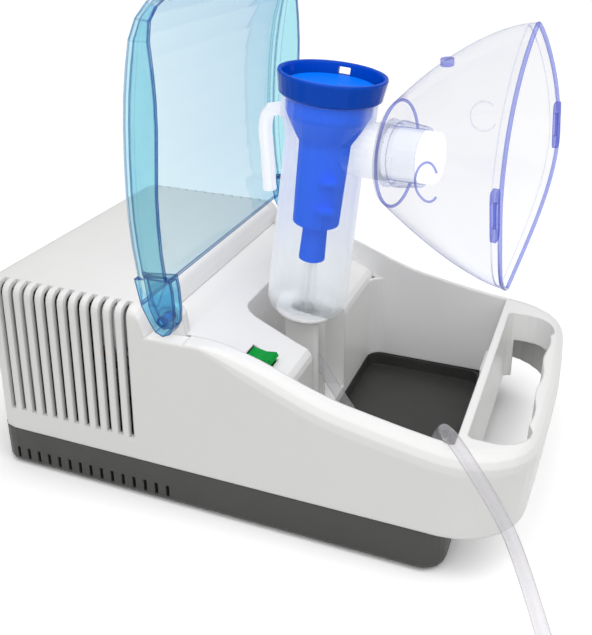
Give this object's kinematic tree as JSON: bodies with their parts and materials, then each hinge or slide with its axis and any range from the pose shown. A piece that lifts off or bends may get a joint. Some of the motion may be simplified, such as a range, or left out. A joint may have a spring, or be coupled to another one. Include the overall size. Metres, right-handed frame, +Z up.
{
  "type": "tabletop nebulizer",
  "caption": "Compressor nebulizer with a storage bay, carrying handle, hinged clear lid, medicine cup, face mask and air tube.",
  "frame": {"origin": "on the table, under the middle of the overall bounding box (air tube, mask and open lid included); the middle of the housing's footprint is at x=0.0370, y=0.0403", "axes": "+Z up; -Y towards the handle, +Y towards the rear; +X to the right when facing +Y"},
  "size_m": [0.256, 0.3876, 0.2654],
  "materials": {
    "white": "satin",
    "dark": "satin",
    "rubber": "matte",
    "steel": "satin",
    "lid_blue": "gloss",
    "pin_blue": "gloss",
    "black": "satin",
    "green": "gloss",
    "clear_tube": "gloss",
    "core": "satin",
    "copper": "satin",
    "alu": "satin",
    "fan": "satin",
    "felt": "matte",
    "frosted": "satin",
    "blue": "gloss",
    "clear_mask": "gloss"
  },
  "bodies": {
    "housing": {"upper_housing": "white", "lower_base": "dark", "lid_pin_near": "pin_blue", "lid_pin_far": "pin_blue", "switch_body": "black", "air_outlet": "white", "inner_air_hose": "clear_tube", "stator_core": "core", "stator_coil_front": "copper", "stator_coil_rear": "copper", "bearing_bracket_front": "alu", "bearing_bracket_rear": "alu", "cylinder": "alu", "cylinder_head": "alu", "motor_cradle": "alu", "filter_cap": "white", "air_filter": "felt", "mains_inlet": "black", "cup_holder": "white", "air_tube": "clear_tube", "tube_cuff_free": "clear_tube", "foot_front_near": "rubber", "foot_front_far": "rubber", "foot_rear_near": "rubber", "foot_rear_far": "rubber", "motor_mount_1": "rubber", "motor_mount_2": "rubber", "motor_mount_3": "rubber", "motor_mount_4": "rubber", "housing_screw_1": "steel", "housing_screw_2": "steel", "housing_screw_3": "steel", "housing_screw_4": "steel"},
    "lid": {"lid": "lid_blue"},
    "rocker": {"switch_rocker": "green"},
    "rotor": {"rotor_core": "core", "rotor_shaft": "steel", "cooling_fan": "fan", "crank": "steel"},
    "piston": {"piston_rod": "alu", "piston_seal": "rubber"},
    "kit": {"neb_tank": "frosted", "tube_cuff_cup": "clear_tube", "neb_jet_cap": "blue", "mask_adapter": "frosted"},
    "cap": {"neb_cap": "blue", "cap_valve_disc": "blue", "neb_chimney": "blue"},
    "mask": {"mask_shell": "clear_mask", "mask_inlet_cuff": "clear_mask"}
  },
  "joints": [
    {"name": "lid_hinge", "type": "hinge", "parent": "housing", "child": "lid", "pos_m": [0.03705, 0.07875, 0.1075], "axis": [1, 0, 0], "range_deg": [0, 97]},
    {"name": "kit_slide", "type": "slide", "parent": "housing", "child": "kit", "axis": [0, -0.88, 0.475], "range_m": [0, 0.2533]},
    {"name": "cap_twist", "type": "hinge", "parent": "kit", "child": "cap", "pos_m": [0.03205, 0.02139, 0.20319], "axis": [0, -0.1132, 0.9936], "range_deg": [0, 35]},
    {"name": "mask_swivel", "type": "hinge", "parent": "kit", "child": "mask", "pos_m": [0.026, -0.01562, 0.1818], "axis": [-0.1512, -0.9883, 0.0192], "range_deg": [-90, 90]},
    {"name": "switch_rock", "type": "hinge", "parent": "housing", "child": "rocker", "pos_m": [-0.02295, 0.03891, 0.08004], "axis": [1, 0, 0], "range_deg": [-7, 7]},
    {"name": "rotor_spin", "type": "hinge", "parent": "housing", "child": "rotor", "pos_m": [0.03705, 0.13225, 0.05], "axis": [1, 0, 0], "continuous": true},
    {"name": "piston_slide", "type": "slide", "parent": "housing", "child": "piston", "axis": [0, 0, 1], "range_m": [-0.0025, 0.0025]}
  ],
  "couplings": [
    {"joint": "kit_slide", "follows": "lid_hinge", "m_per_rad": 0.149}
  ]
}
